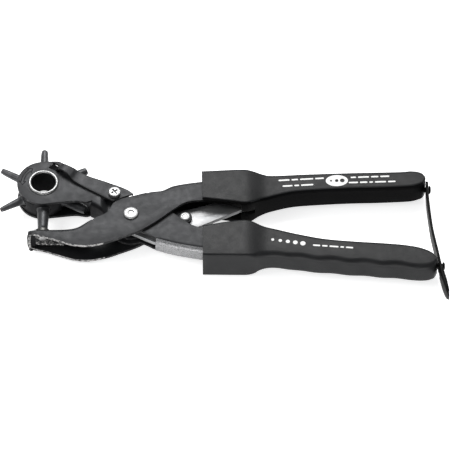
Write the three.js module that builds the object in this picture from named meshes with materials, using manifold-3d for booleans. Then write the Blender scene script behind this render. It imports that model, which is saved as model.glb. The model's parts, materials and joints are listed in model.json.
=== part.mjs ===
// Rotary (revolving) hole punch pliers with a compound lever, lying flat on one side.
//
// The pliers are pressed from steel sheet. Four levers share the work:
//   anvil lever     lower jaw with the anvil, and the upper handle: the fixed frame
//   punch jaw       upper jaw that holds the six-tube punch wheel, turning on the main pivot
//   lower handle    turns on the same pivot; its web pushes up on the pressure lever
//   pressure lever  flat plate held by a fulcrum pin in the upper handle; it lifts the punch jaw's tail
//
// Millimetres. While it is built, the main pivot is at the origin, the tool's mid-plane is z = 0,
// the head points to -X and the handles to +X. At the end the group is set on the surface it lies on.

import * as THREE from "three";
import { mergeVertices } from "three/addons/utils/BufferGeometryUtils.js";
import Module from "manifold-3d";

const wasm = await Module();
wasm.setup();

// ---------------------------------------------------------------- driving dimensions

const SHEET = 1.6; // steel sheet of the three pressed levers
const GAP = 0.2; // clearance between neighbouring sheets
const REACH = 300; // longer than the tool, for cutting slabs

const PLATE_HALF = 1.2; // pressure lever, half thickness
const TAIL_HALF = PLATE_HALF + 0.15 + SHEET; // outside of the punch jaw's tail
const JAW_HALF = 4.0; // outside of the punch jaw at the pivot
const HANDLE_HALF = JAW_HALF + GAP + SHEET; // outside of the lower handle
const FRAME_HALF = HANDLE_HALF + GAP + SHEET; // outside of the anvil lever
const HEAD_HALF = 7.1; // outside of the punch jaw round the wheel
const SLIM_HALF = 5.4; // outside of the anvil lever inside the slim part of its grip
const GUARD_HALF = 9.6; // outside of the grips' guards, which the tool lies on
const GRIP_HALF = 7.3; // outside of the grips behind the guards
const GUARD_END = [63, 76]; // where the guards slope down to the grips, along x

const PIVOT_R = 2.75;
const PIVOT_HEAD_R = 4.1;
const PIVOT_HEAD_H = 1.1;
const RUN = 0.08; // radial clearance of a turning fit

const WHEEL = [-48.4, 21.6]; // centre of the punch wheel
const HEAD_R = 14.5;
const DRUM_R = 13.9;
const DRUM_HALF = HEAD_HALF - SHEET - GAP;
const AXLE_R = 7.4;
const AXLE_BORE_R = 6.6;
const RING_R = 8.4;
const RING_H = 1.0;

const TUBE_REACH = 27; // wheel centre to cutting edge
const TUBE_ROOT = 8.2;
const TUBE_SEAT_R = 3.0;
const TUBE_COLLAR_R = 3.7;
// hole diameters, anticlockwise from the working tube, which points at the anvil
const HOLES = [4.5, 4.0, 3.5, 3.0, 2.5, 2.0];
const WORKING_ANGLE = -90;

const ANVIL_R = 4;
const ANVIL_FACE = -6.4; // y of the anvil's face
const JAW_FACE = -9.5; // y of the lower jaw's web

const DETENT_R = 12.6; // wheel centre to the middle of an index pocket
const DETENT_ANGLE = 60;
const DETENT_LENGTH = 38.1; // leaf spring, screw to nose
const LEAF_T = 1.1;
const LEAF_ANGLE = DETENT_ANGLE + 90;

const LINK = [29.7, 1.2]; // rivet that joins the punch jaw's tail to the pressure lever
const LINK_R = 2.0;
const LINK_HEAD_R = 3.05;
const FULCRUM = [64, 13.3]; // pin in the upper handle
const FULCRUM_R = 2.0;
const WIRE_R = 0.6; // opening spring

const STRAP_T = 1.4;
const STRAP_HALF = 5.0;
const KNOB_R = 1.5;
const KNOB_HEAD_R = 2.3;
const UPPER_KNOB = { y: 22, strap: 163.4 }; // place along y, and x of the strap's outer face there
const LOWER_KNOB = { y: -30.2, strap: 169.8 };

const MATERIALS = {
  coated: { color: 0x2b2c2e, roughness: 0.55, metalness: 0.4 },
  punch: { color: 0x4a4b4d, roughness: 0.4, metalness: 0.8 },
  bright: { color: 0xd9dadc, roughness: 0.25, metalness: 1.0 },
  plated: { color: 0xc9cbce, roughness: 0.35, metalness: 1.0 },
  spring: { color: 0x3a3b3e, roughness: 0.4, metalness: 0.9 },
  grip: { color: 0x1f2022, roughness: 0.6, metalness: 0.0 },
  strap: { color: 0x161617, roughness: 0.5, metalness: 0.0 },
  anvil: { color: 0x5b5753, roughness: 0.4, metalness: 0.9 },
};

// ---------------------------------------------------------------- helpers

const rad = THREE.MathUtils.degToRad;
const polar = (r, deg) => [r * Math.cos(rad(deg)), r * Math.sin(rad(deg))];
const move = ([x, y], [dx, dy]) => [x + dx, y + dy];

// A closed geometry as a manifold solid.
function solid(geometry) {
  const bare = geometry.clone();
  bare.deleteAttribute("normal");
  bare.deleteAttribute("uv");
  const merged = mergeVertices(bare, 1e-4);
  const mesh = new wasm.Mesh({
    numProp: 3,
    vertProperties: new Float32Array(merged.attributes.position.array),
    triVerts: new Uint32Array(merged.index.array),
  });
  return new wasm.Manifold(mesh);
}

// A manifold solid as a named mesh.
function piece(name, material, made) {
  const mesh = made.getMesh();
  const geometry = new THREE.BufferGeometry();
  geometry.setAttribute("position", new THREE.BufferAttribute(mesh.vertProperties, 3));
  geometry.setIndex(new THREE.BufferAttribute(mesh.triVerts, 1));
  geometry.computeVertexNormals();
  const result = new THREE.Mesh(geometry, new THREE.MeshStandardMaterial(MATERIALS[material]));
  result.name = name;
  return result;
}

// Smooth line through a few points.
function smooth(points, steps = 2) {
  const curve = new THREE.SplineCurve(points.map(([x, y]) => new THREE.Vector2(x, y)));
  return curve.getPoints((points.length - 1) * steps).map((p) => [p.x, p.y]);
}

// The same line, moved sideways by a distance (to its left when positive).
function offset(line, distance) {
  return line.map(([x, y], i) => {
    const [ax, ay] = line[Math.max(i - 1, 0)];
    const [bx, by] = line[Math.min(i + 1, line.length - 1)];
    const length = Math.hypot(bx - ax, by - ay);
    return [x - ((by - ay) / length) * distance, y + ((bx - ax) / length) * distance];
  });
}

// A band of sheet standing on a line.
const strip = (line, thickness) => [...line, ...offset(line, thickness).reverse()];

function prism(outline, low, high) {
  const shape = new THREE.Shape(outline.map(([x, y]) => new THREE.Vector2(x, y)));
  const geometry = new THREE.ExtrudeGeometry(shape, { depth: high - low, bevelEnabled: false });
  return solid(geometry.translate(0, 0, low));
}

// Everything between -z and +z, where z changes along x as the profile says.
function slab(profile) {
  const top = profile.map(([x, z]) => new THREE.Vector2(x, z));
  const bottom = profile.map(([x, z]) => new THREE.Vector2(x, -z)).reverse();
  const shape = new THREE.Shape([...top, ...bottom]);
  const geometry = new THREE.ExtrudeGeometry(shape, { depth: 2 * REACH, bevelEnabled: false });
  return solid(geometry.rotateX(Math.PI / 2).translate(0, REACH, 0));
}

function rod(radius, [x, y], low, high, sides = 28) {
  const geometry = new THREE.CylinderGeometry(radius, radius, high - low, sides);
  return solid(geometry.rotateX(Math.PI / 2).translate(x, y, (low + high) / 2));
}

function rodAlongX(radius, y, low, high, sides = 20) {
  const geometry = new THREE.CylinderGeometry(radius, radius, high - low, sides);
  return solid(geometry.rotateZ(Math.PI / 2).translate((low + high) / 2, y, 0));
}

// A turned solid whose axis runs from a centre outwards in the tool's plane.
// The profile lists [radius, distance from the centre].
function turned(profile, [x, y], deg, sides = 24) {
  const points = profile.map(([r, d]) => new THREE.Vector2(r, d));
  const geometry = new THREE.LatheGeometry(points, sides);
  return solid(geometry.rotateZ(rad(deg - 90)).translate(x, y, 0));
}

// A turned solid on a Z axis. The profile lists [radius, z].
function turnedOnZ(profile, [x, y], sides = 32) {
  const points = profile.map(([r, z]) => new THREE.Vector2(r, z));
  const geometry = new THREE.LatheGeometry(points, sides);
  return solid(geometry.rotateX(Math.PI / 2).translate(x, y, 0));
}

const flat = (half) => [[-REACH, half], [REACH, half]];
const thinner = (profile) => profile.map(([x, z]) => [x, z - SHEET]);

// Two flanges cut to one outline and joined by webs that stand on lines.
function pressed(outlines, profile, webs) {
  const blank = outlines.map((o) => prism(o, -20, 20)).reduce((a, b) => a.add(b));
  const envelope = slab(profile);
  const flanges = blank.intersect(envelope).subtract(slab(thinner(profile)));
  const walls = webs.map((line) => prism(strip(line, -SHEET), -20, 20).intersect(envelope));
  return walls.reduce((made, wall) => made.add(wall), flanges);
}

function circle([x, y], r, steps = 40) {
  return Array.from({ length: steps }, (_, i) => move(polar(r, (360 * i) / steps), [x, y]));
}

// ---------------------------------------------------------------- anvil lever (frame)

const FRAME_PROFILE = [
  [-REACH, FRAME_HALF], [GUARD_END[0] + 3, FRAME_HALF], [74, SLIM_HALF], [REACH, SLIM_HALF],
];

const FRAME_NOSE = [[-56.2, -14.6], [-56.8, -13.2], [-56.4, -11.6], [-55, -10.3], [-52.4, JAW_FACE]];
const FRAME_JAW_BACK = [[-37, JAW_FACE], [-32, -8.9], [-27.5, -7.1], [-21.5, -3.6]];
const FRAME_THROAT = [[-14.8, -0.3], [-11.8, 2.6], [-10.2, 6.4], [-6.8, 9.6], [2, 12.5], [9.8, 15]];
const FRAME_HANDLE_BACK = [
  [9.8, 15], [17, 17.3], [23.8, 20.7], [38.4, 23.4], [50, 24],
  [65, 24], [80, 24.6], [100, 25.5], [125, 26.6], [153, 27.3],
];
const FRAME_HANDLE_EDGE = [
  [153, 20.7], [125, 19.8], [105, 18.7], [90, 16.9], [75, 13.9], [62, 10.9], [50, 9.8],
  [39.5, 9.4], [30.5, 8.1], [23.3, 3.1], [13.7, -5.2], [4.5, -11.6],
];
const FRAME_JAW_EDGE = [
  [-6.3, -16.5], [-13, -19.2], [-21.4, -21.3], [-27.5, -21.4],
  [-32.4, -20.6], [-37, -19], [-46, -15.7], [-50.6, -14.5],
];

function anvilLever() {
  const jawBack = [...smooth(FRAME_NOSE), ...smooth(FRAME_JAW_BACK)];
  const handleBack = smooth(FRAME_HANDLE_BACK);
  const throat = smooth([FRAME_JAW_BACK.at(-1), ...FRAME_THROAT]);
  const edge = smooth([...FRAME_HANDLE_EDGE, ...FRAME_JAW_EDGE]);
  const outline = [...jawBack, ...throat.slice(1), ...handleBack.slice(1), ...edge];
  return pressed([outline], FRAME_PROFILE, [jawBack, handleBack])
    .subtract(rod(PIVOT_R + RUN, [0, 0], -20, 20))
    .subtract(rod(FULCRUM_R + RUN, FULCRUM, -20, 20, 20))
    .subtract(turned([[0, 20], [1.3, 20], [1.3, 40], [0, 40]], WHEEL, WORKING_ANGLE, 16));
}

function anvil() {
  const face = WHEEL[1] - ANVIL_FACE;
  const back = WHEEL[1] - JAW_FACE - 0.05;
  const profile = [[0, face], [ANVIL_R - 0.4, face], [ANVIL_R, face + 0.4], [ANVIL_R, back], [0, back]];
  const socket = [[0, face + 1.4], [1.3, face + 1.4], [1.3, back + 1], [0, back + 1]];
  return turned(profile, WHEEL, WORKING_ANGLE).subtract(turned(socket, WHEEL, WORKING_ANGLE, 16));
}

function anvilRivet() {
  const tip = WHEEL[1] - ANVIL_FACE + 1.6;
  const web = WHEEL[1] - JAW_FACE + SHEET + 0.05;
  const profile = [[0, tip], [1.1, tip], [1.1, web], [2.4, web], [2.0, web + 0.9], [0, web + 1.0]];
  return turned(profile, WHEEL, WORKING_ANGLE, 16);
}

// ---------------------------------------------------------------- punch jaw

const JAW_PROFILE = [
  [-REACH, HEAD_HALF], [-17, HEAD_HALF], [-12.6, JAW_HALF],
  [8, JAW_HALF], [15, TAIL_HALF], [REACH, TAIL_HALF],
];
const JAW_UPPER = [
  [-48.4, 36.1], [-42.5, 36.4], [-39, 35.8], [-34.5, 32.2], [-28, 28],
  [-20, 23.6], [-12, 20], [-5, 17], [1.5, 12.4], [6.5, 7.2],
];
const JAW_LOWER = [
  [-8, -5], [-14.4, 1.7], [-18.5, 5.2], [-23.2, 8], [-29.7, 9.2], [-39, 8.4], [-48.4, 7.1],
];
const JAW_WEB = [[-12, -1.2], [-14.4, 1.7], [-18.5, 5.2], [-22.4, 7.6]];
const JAW_LOBE_R = 9.6;
const TAIL_R = 3.7;

function punchJaw() {
  const arm = [...smooth(JAW_UPPER), ...smooth(JAW_LOWER)];
  const tail = [[2, 8.6], move(LINK, [-0.5, TAIL_R]), move(LINK, [0.2, -TAIL_R]), [4, -8.2]];
  const rounds = [circle(WHEEL, HEAD_R, 56), circle([0, 0], JAW_LOBE_R), circle(LINK, TAIL_R, 24)];
  const window = turnedLeafBox(DETENT_LENGTH - 3.6, DETENT_LENGTH + 2.9, 2.3, 3, 12);
  return pressed([...rounds, arm, tail], JAW_PROFILE, [smooth(JAW_WEB)])
    .subtract(rod(AXLE_R + 0.1, WHEEL, -20, 20, 40))
    .subtract(rod(PIVOT_R + RUN, [0, 0], -20, 20))
    .subtract(rod(LINK_R + RUN, LINK, -20, 20, 20))
    .subtract(rod(1.7, leafPoint(0, 0), 0, 20, 16))
    .subtract(window);
}

// ---------------------------------------------------------------- punch wheel and its axle

const TUBE_ANGLES = HOLES.map((_, i) => WORKING_ANGLE + 60 * i);

function drum() {
  let made = rod(DRUM_R, WHEEL, -DRUM_HALF, DRUM_HALF, 60).subtract(rod(AXLE_R + RUN, WHEEL, -20, 20, 40));
  for (const deg of TUBE_ANGLES) {
    const seat = [
      [0, 0], [TUBE_SEAT_R + 0.08, 0], [TUBE_SEAT_R + 0.08, DRUM_R - 1.3],
      [TUBE_COLLAR_R + 0.15, DRUM_R - 1.3], [TUBE_COLLAR_R + 0.15, DRUM_R + 5], [0, DRUM_R + 5],
    ];
    made = made.subtract(turned(seat, WHEEL, deg, 24));
    made = made.subtract(pocket(deg + 30));
  }
  return made;
}

// Index pocket in the wheel's upper face, between two tubes.
function pocket(deg) {
  const box = new THREE.BoxGeometry(5.2, 4.6, 2.6);
  box.translate(DETENT_R + 0.4, 0, DRUM_HALF).rotateZ(rad(deg)).translate(...WHEEL, 0);
  return solid(box);
}

// Cutting tube: collar in the wheel, tapered shank, sharp hollow end.
function punchTube(hole, deg) {
  const bore = hole / 2;
  const edge = bore + 0.45;
  const shank = Math.max(bore + 1.05, 2.25);
  const collar = Math.min(shank + 0.6, TUBE_COLLAR_R);
  const profile = [
    [bore, TUBE_ROOT], [TUBE_SEAT_R, TUBE_ROOT], [TUBE_SEAT_R, DRUM_R - 1.2], [collar, DRUM_R - 1.2],
    [collar, DRUM_R - 0.2], [shank, DRUM_R + 0.2], [edge, TUBE_REACH - 0.9],
    [bore + 0.15, TUBE_REACH], [bore, TUBE_REACH], [bore, TUBE_ROOT],
  ];
  return turned(profile, WHEEL, deg, 20);
}

function axleTube() {
  const length = HEAD_HALF;
  return rod(AXLE_R, WHEEL, -length, length, 40)
    .subtract(rod(AXLE_BORE_R, WHEEL, -20, 20, 40))
    .subtract(turned([[0, 0], [2.6, 0], [2.6, 12], [0, 12]], WHEEL, WORKING_ANGLE, 16));
}

// Rolled bright rim of the hollow axle, on the upper (+1) or lower (-1) plate.
function axleRing(side) {
  const low = HEAD_HALF + 0.05;
  const high = low + RING_H;
  const profile = [
    [AXLE_BORE_R, low], [RING_R, low], [RING_R - 0.2, low + 0.55], [RING_R - 0.8, high],
    [AXLE_BORE_R + 0.7, high], [AXLE_BORE_R + 0.1, low + 0.6], [AXLE_BORE_R, low],
  ];
  const ring = turnedOnZ(profile, WHEEL, 40);
  return side > 0 ? ring : ring.mirror([0, 0, 1]);
}

// ---------------------------------------------------------------- index spring

// A point of the leaf spring: s runs from its screw to its nose, w across it.
const WINDOW = move(polar(DETENT_R, DETENT_ANGLE), WHEEL);
const SCREW = move(polar(-DETENT_LENGTH, LEAF_ANGLE), WINDOW);

function leafPoint(s, w) {
  return move(move(polar(s, LEAF_ANGLE), polar(w, LEAF_ANGLE - 90)), SCREW);
}

function turnedLeafBox(from, to, halfWidth, low, high) {
  const corners = [[from, -halfWidth], [to, -halfWidth], [to, halfWidth], [from, halfWidth]];
  return prism(corners.map(([s, w]) => leafPoint(s, w)), low, high);
}

const LEAF_UPPER = [
  [-9, 5.1], [-4.8, 5.9], [1.5, 5.5], [10, 4.1], [18, 2.9], [26, 2.6], [32, 2.1], [40.5, 1.9],
];
const LEAF_LOWER = [
  [40.5, -1.9], [32, -2.2], [27, -3.0], [23.5, -4.1], [14, -4.7], [4.7, -5.0], [-1.9, -5.1],
];
// underside of the leaf, [s, z]: it rises off the plate, humps over and dips into the wheel's pocket
const LEAF_RISE = [
  [-10, 6.7], [3, 6.8], [9, 7.25], [23, 7.7], [27.5, 9.1], [31.5, 9.8], [34.2, 9.1], [35.7, 7.2],
  [36.9, 5.1], [38.2, 4.5], [39.4, 5], [40.7, 5.9],
];
const SPACER_R = 3.1;

function detentSpring() {
  const outline = [...smooth(LEAF_UPPER), ...smooth(LEAF_LOWER)].map(([s, w]) => new THREE.Vector2(s, w));
  const blank = new THREE.ExtrudeGeometry(new THREE.Shape(outline), { depth: 20, bevelEnabled: false });
  const side = strip(smooth(LEAF_RISE, 3), LEAF_T).map(([s, z]) => new THREE.Vector2(s, z));
  const bend = new THREE.ExtrudeGeometry(new THREE.Shape(side), { depth: 40, bevelEnabled: false });
  bend.rotateX(Math.PI / 2).translate(0, 20, 0);
  // w runs clockwise from s, so the flat blank is turned over before it is swung into place
  blank.scale(1, -1, 1);
  blank.index = null;
  const flipped = solid(reversed(blank));
  const leaf = flipped.intersect(solid(bend)).subtract(rod(1.75, [0, 0], 0, 20, 16));
  return leaf.rotate([0, 0, LEAF_ANGLE]).translate([...SCREW, 0]);
}

// The same triangles wound the other way round, for a mirrored geometry.
function reversed(geometry) {
  const position = geometry.getAttribute("position");
  const turnedRound = new Float32Array(position.array.length);
  for (let i = 0; i < position.count; i += 3) {
    for (const [to, from] of [[0, 0], [1, 2], [2, 1]]) {
      turnedRound.set(position.array.subarray((i + from) * 3, (i + from) * 3 + 3), (i + to) * 3);
    }
  }
  return new THREE.BufferGeometry().setAttribute("position", new THREE.BufferAttribute(turnedRound, 3));
}

function detentSpacer() {
  return rod(SPACER_R, SCREW, JAW_HALF + 0.05, 6.72, 24).subtract(rod(1.75, SCREW, 0, 20, 16));
}

function detentScrew() {
  const seat = 6.8 + LEAF_T + 0.08;
  const top = seat + 2.1;
  const profile = [[0, 2.6], [1.6, 2.6], [1.6, seat], [3.25, seat], [3.25, top - 0.3], [2.9, top], [0, top]];
  const cross = new THREE.BoxGeometry(3.6, 0.8, 1.6).translate(0, 0, top).toNonIndexed();
  const recess = solid(cross).add(solid(cross.clone().rotateZ(Math.PI / 2))).rotate([0, 0, 20]);
  return turnedOnZ(profile, SCREW, 28).subtract(recess.translate([...SCREW, 0]));
}

// ---------------------------------------------------------------- lower handle

const HANDLE_LOBE_R = 11.8;
const HANDLE_UPPER = [
  [4, 10.6], [13, 7.6], [22.5, 2.4], [28.5, -2.4], [36, -7.3], [50, -9.4], [64, -8.4],
  [75, -11], [90, -15.2], [105, -18.7], [125, -20.9], [158, -25],
];
const HANDLE_WEB = [
  [158, -33], [145, -31.8], [125, -29.8], [100, -27.3], [78, -24.9], [62, -25], [50, -24.8],
  [38.9, -23.4], [24, -20.3], [13.4, -16.9],
];
const HANDLE_NOTCH = [[13.4, -16.9], [12.4, -14.8], [10, -13], [6, -11]];

function lowerHandle() {
  const web = smooth(HANDLE_WEB);
  const outline = [...smooth(HANDLE_UPPER), ...web, ...smooth(HANDLE_NOTCH).slice(1), [0, 0]];
  return pressed([outline, circle([0, 0], HANDLE_LOBE_R)], flat(HANDLE_HALF), [web])
    .subtract(rod(PIVOT_R + RUN, [0, 0], -20, 20));
}

// ---------------------------------------------------------------- pressure lever

const LEVER_SLOT = 1.15; // half travel of the pin in its slot
const SLOT_PLAY = 0.2; // clearance of the pin in its slot
const LEVER_ALONG = Math.atan2(FULCRUM[1] - LINK[1], FULCRUM[0] - LINK[0]) * THREE.MathUtils.RAD2DEG;
const LEVER_EYE = move(polar(0.87, LEVER_ALONG), FULCRUM);
const LEVER_LOWER = [
  [-2.9, -7], [1.2, -8.8], [12.2, -14.4], [13.4, -14.9], [14.8, -14.4], [36, -4.6], [60, 7.2], [66.5, 8.6],
];
const LEVER_UPPER = [
  [62.6, 19], [52, 14.6], [39.6, 9.9], [31.2, 7.3], [25, 6],
  [19.5, 2.6], [13, -2.8], [7.2, -5.6], [1.5, -5.7], [-2.4, -5],
];

function pressureLever() {
  const slot = [-LEVER_SLOT, LEVER_SLOT].map((d) => move(polar(d, LEVER_ALONG), LEVER_EYE));
  const [ux, uy] = polar(FULCRUM_R + SLOT_PLAY, LEVER_ALONG + 90);
  const between = [
    move(slot[0], [-ux, -uy]), move(slot[1], [-ux, -uy]), move(slot[1], [ux, uy]), move(slot[0], [ux, uy]),
  ];
  let made = prism([...LEVER_LOWER, ...LEVER_UPPER], -PLATE_HALF, PLATE_HALF)
    .add(rod(5.4, LEVER_EYE, -PLATE_HALF, PLATE_HALF, 32))
    .subtract(prism(between, -5, 5))
    .subtract(rod(LINK_R + RUN, LINK, -5, 5, 20));
  for (const end of slot) {
    made = made.subtract(rod(FULCRUM_R + SLOT_PLAY, end, -5, 5, 20));
  }
  return made;
}

// ---------------------------------------------------------------- pivots

function pivotRivet() {
  const seat = FRAME_HALF + 0.05;
  const top = seat + PIVOT_HEAD_H;
  const profile = [
    [0, -GUARD_HALF], [PIVOT_HEAD_R - 0.4, -GUARD_HALF], [PIVOT_HEAD_R, -GUARD_HALF + 0.4],
    [PIVOT_HEAD_R, -seat], [PIVOT_R, -seat], [PIVOT_R, seat], [PIVOT_HEAD_R, seat],
    [PIVOT_HEAD_R, top - 0.35], [PIVOT_HEAD_R - 0.6, top], [1.9, top - 0.1], [1.7, top - 0.4], [0, top - 0.4],
  ];
  return turnedOnZ(profile, [0, 0]);
}

function linkRivet() {
  const seat = TAIL_HALF + 0.05;
  const top = seat + 0.95;
  const profile = [
    [0, -top], [LINK_HEAD_R - 0.3, -top], [LINK_HEAD_R, -top + 0.3], [LINK_HEAD_R, -seat], [LINK_R, -seat],
    [LINK_R, seat], [LINK_HEAD_R, seat], [LINK_HEAD_R, top - 0.3], [LINK_HEAD_R - 0.3, top], [0, top],
  ];
  return turnedOnZ(profile, LINK, 24);
}

const fulcrumPin = () => rod(FULCRUM_R, FULCRUM, -FRAME_HALF + 1, FRAME_HALF - 1, 20);

// ---------------------------------------------------------------- opening spring

// Torsion spring on the fulcrum pin: one leg bears on the handle's web,
// the other hooks over the pressure lever.
function openingSpring() {
  const COIL_R = FULCRUM_R + 0.3 + WIRE_R;
  const TOP = 4.8;
  const LOW = 1.95;
  const FROM = 236;
  const TO = 100 + 3 * 360;
  const points = [];
  const add = ([x, y], z) => points.push(new THREE.Vector3(x, y, z));
  const start = move(polar(COIL_R, FROM), FULCRUM);
  for (const back of [19, 12, 5]) add(move(polar(-back, FROM + 90), start), TOP);
  const STEPS = 32;
  for (let i = 0; i <= STEPS; i++) {
    const share = i / STEPS;
    add(move(polar(COIL_R, FROM + (TO - FROM) * share), FULCRUM), TOP + (LOW - TOP) * share);
  }
  const end = move(polar(COIL_R, TO), FULCRUM);
  for (const on of [5, 12, 18.5]) add(move(polar(on, TO + 90), end), LOW);
  const hook = move(polar(19.6, TO + 90), end);
  add(hook, LOW - 0.7);
  add(hook, -1.2);
  const path = new THREE.CatmullRomCurve3(points, false, "centripetal");
  const section = new THREE.Shape(circle([0, 0], WIRE_R, 6).map(([x, y]) => new THREE.Vector2(x, y)));
  return solid(new THREE.ExtrudeGeometry(section, { extrudePath: path, steps: 64, bevelEnabled: false }));
}

// ---------------------------------------------------------------- grips

const UPPER_GRIP_BACK = [
  [38.7, 28.8], [52, 29.6], [62.5, 30], [68, 29.3], [73, 28.2], [79, 27.8],
  [98, 28.8], [121, 29.7], [147, 30.4], [154, 31],
];
const UPPER_GRIP_END = [[158.9, 30.3], [161.4, 28], [161.9, 23.8], [160.6, 21]];
const UPPER_GRIP_FRONT = [
  [157.2, 19.2], [152, 18.2], [136, 17.3], [121, 16.9], [105, 16], [90, 14.7],
  [80, 12.3], [71, 9.1], [64, 5.8], [56, 6.7], [39.2, 9],
];
const LOWER_GRIP_BACK = [
  [39.4, -8.9], [52, -6.2], [64, -4.9], [72, -7.2], [80, -9.3],
  [90, -12.1], [105, -15.5], [121, -17.3], [137, -18.5], [149, -19.7],
];
const LOWER_GRIP_END = [[158, -21.6], [164.4, -24.9], [167.4, -29.2], [165.3, -34.6]];
const LOWER_GRIP_FRONT = [
  [160, -36.2], [152, -35.9], [136, -34.3], [113, -32.2], [92, -29.9], [81, -27.9],
  [75, -27.8], [70, -28.7], [65, -29.8], [39.4, -29.6],
];
const GRIP_EDGE = 1.6; // chamfer round the grip

// A plastic sleeve with chamfered edges, thicker at its guard, less a pocket for the steel that it covers.
function grip(outline, core) {
  const [guard, slim] = GUARD_END;
  const profile = [[-REACH, GUARD_HALF], [guard, GUARD_HALF], [slim, GRIP_HALF], [REACH, GRIP_HALF]];
  const shoulder = profile.map(([x, z]) => [x, z - GRIP_EDGE]);
  const inner = offset([...outline, outline[0]], -GRIP_EDGE).slice(0, -1);
  const body = prism(outline, -20, 20).intersect(slab(shoulder));
  const faces = prism(inner, -20, 20).intersect(slab(profile));
  return body.add(faces).subtract(core);
}

function upperGrip() {
  const outline = [...smooth(UPPER_GRIP_BACK), ...smooth(UPPER_GRIP_END), ...smooth(UPPER_GRIP_FRONT)];
  const back = offset(smooth(FRAME_HANDLE_BACK), GAP).filter(([x]) => x > 28);
  const front = offset(smooth(FRAME_HANDLE_EDGE), GAP).filter(([x]) => x > 28);
  const pocketOutline = [...back, [153.4, back.at(-1)[1]], [153.4, front[0][1]], ...front];
  const LEVER_SLIT = FRAME_HALF - SHEET + 0.2;
  const slit = [[30, 0], [74, 0], [74, 16], [30, 16]];
  const pocket = prism(pocketOutline, -20, 20).intersect(slab(FRAME_PROFILE.map(([x, z]) => [x, z + GAP])));
  return grip(outline, pocket)
    .subtract(prism(slit, -LEVER_SLIT, LEVER_SLIT))
    .subtract(rodAlongX(KNOB_R + 0.3, UPPER_KNOB.y, 155.5, 170));
}

function lowerGrip() {
  const outline = [...smooth(LOWER_GRIP_BACK), ...smooth(LOWER_GRIP_END), ...smooth(LOWER_GRIP_FRONT)];
  const upper = offset(smooth(HANDLE_UPPER), GAP).filter(([x]) => x > 28);
  const web = offset(smooth(HANDLE_WEB), GAP).filter(([x]) => x > 28);
  const pocketOutline = [...upper, [158.4, upper.at(-1)[1]], [158.4, web[0][1]], ...web];
  return grip(outline, prism(pocketOutline, -HANDLE_HALF - GAP, HANDLE_HALF + GAP))
    .subtract(rodAlongX(KNOB_R + 0.3, LOWER_KNOB.y, 160.5, 180));
}

// ---------------------------------------------------------------- closing strap

const STRAP_LINE = [[162.9, 26], [162.9, 18.8], [163.4, 8], [164.9, -8], [167.4, -23], [169.1, -33.4]];
const TAB_LINE = [[169, -32.8], [171.1, -43], [173, -51.4]];
const TAB_T = 2.6;

function closingStrap() {
  const band = prism(strip(offset(smooth(STRAP_LINE, 3), -STRAP_T / 2), STRAP_T), -STRAP_HALF, STRAP_HALF);
  const tab = prism(strip(offset(smooth(TAB_LINE, 3), -TAB_T / 2), TAB_T), -STRAP_HALF, STRAP_HALF);
  const holes = [UPPER_KNOB, LOWER_KNOB].map((knob) => rodAlongX(KNOB_R + 0.4, knob.y, 150, 180));
  return holes.reduce((made, hole) => made.subtract(hole), band.add(tab));
}

// Mushroom knob on the end of a grip; the strap is pressed over its head.
function strapKnob({ y, strap }) {
  const neck = rodAlongX(KNOB_R, y, strap - 7, strap + 0.5);
  return neck.add(rodAlongX(KNOB_HEAD_R, y, strap + 0.45, strap + 1.7));
}

// ---------------------------------------------------------------- assembly

const tool = new THREE.Group();
tool.add(
  piece("anvil_lever", "coated", anvilLever()),
  piece("anvil", "anvil", anvil()),
  piece("anvil_rivet", "plated", anvilRivet()),
  piece("fulcrum_pin", "spring", fulcrumPin()),
  piece("opening_spring", "spring", openingSpring()),
  piece("pivot_rivet", "plated", pivotRivet()),
  piece("upper_grip", "grip", upperGrip()),
  piece("strap_knob_upper", "strap", strapKnob(UPPER_KNOB)),
  piece("punch_jaw", "coated", punchJaw()),
  piece("wheel_axle", "coated", axleTube()),
  piece("axle_ring_upper", "bright", axleRing(+1)),
  piece("axle_ring_lower", "bright", axleRing(-1)),
  piece("index_screw", "plated", detentScrew()),
  piece("index_spacer", "coated", detentSpacer()),
  piece("index_spring", "coated", detentSpring()),
  piece("link_rivet", "plated", linkRivet()),
  piece("punch_wheel", "punch", drum()),
  piece("lower_handle", "coated", lowerHandle()),
  piece("lower_grip", "grip", lowerGrip()),
  piece("strap_knob_lower", "strap", strapKnob(LOWER_KNOB)),
  piece("pressure_lever", "bright", pressureLever()),
  piece("closing_strap", "strap", closingStrap()),
);
HOLES.forEach((hole, i) => {
  const name = "punch_tube_" + hole.toFixed(1).replace(".", "_") + "mm";
  tool.add(piece(name, "punch", punchTube(hole, TUBE_ANGLES[i])));
});

// The finished part lies on z = 0, with the middle of its box over the origin.
const extent = new THREE.Box3().setFromObject(tool);
const middle = extent.getCenter(new THREE.Vector3());
tool.position.set(-middle.x, -middle.y, -extent.min.z);

const part = new THREE.Group();
part.add(tool);
export default part;
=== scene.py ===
# Rotary hole punch pliers: the looks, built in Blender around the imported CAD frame.

import json
import math

import bmesh
import bpy
from mathutils import Matrix, Vector


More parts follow.
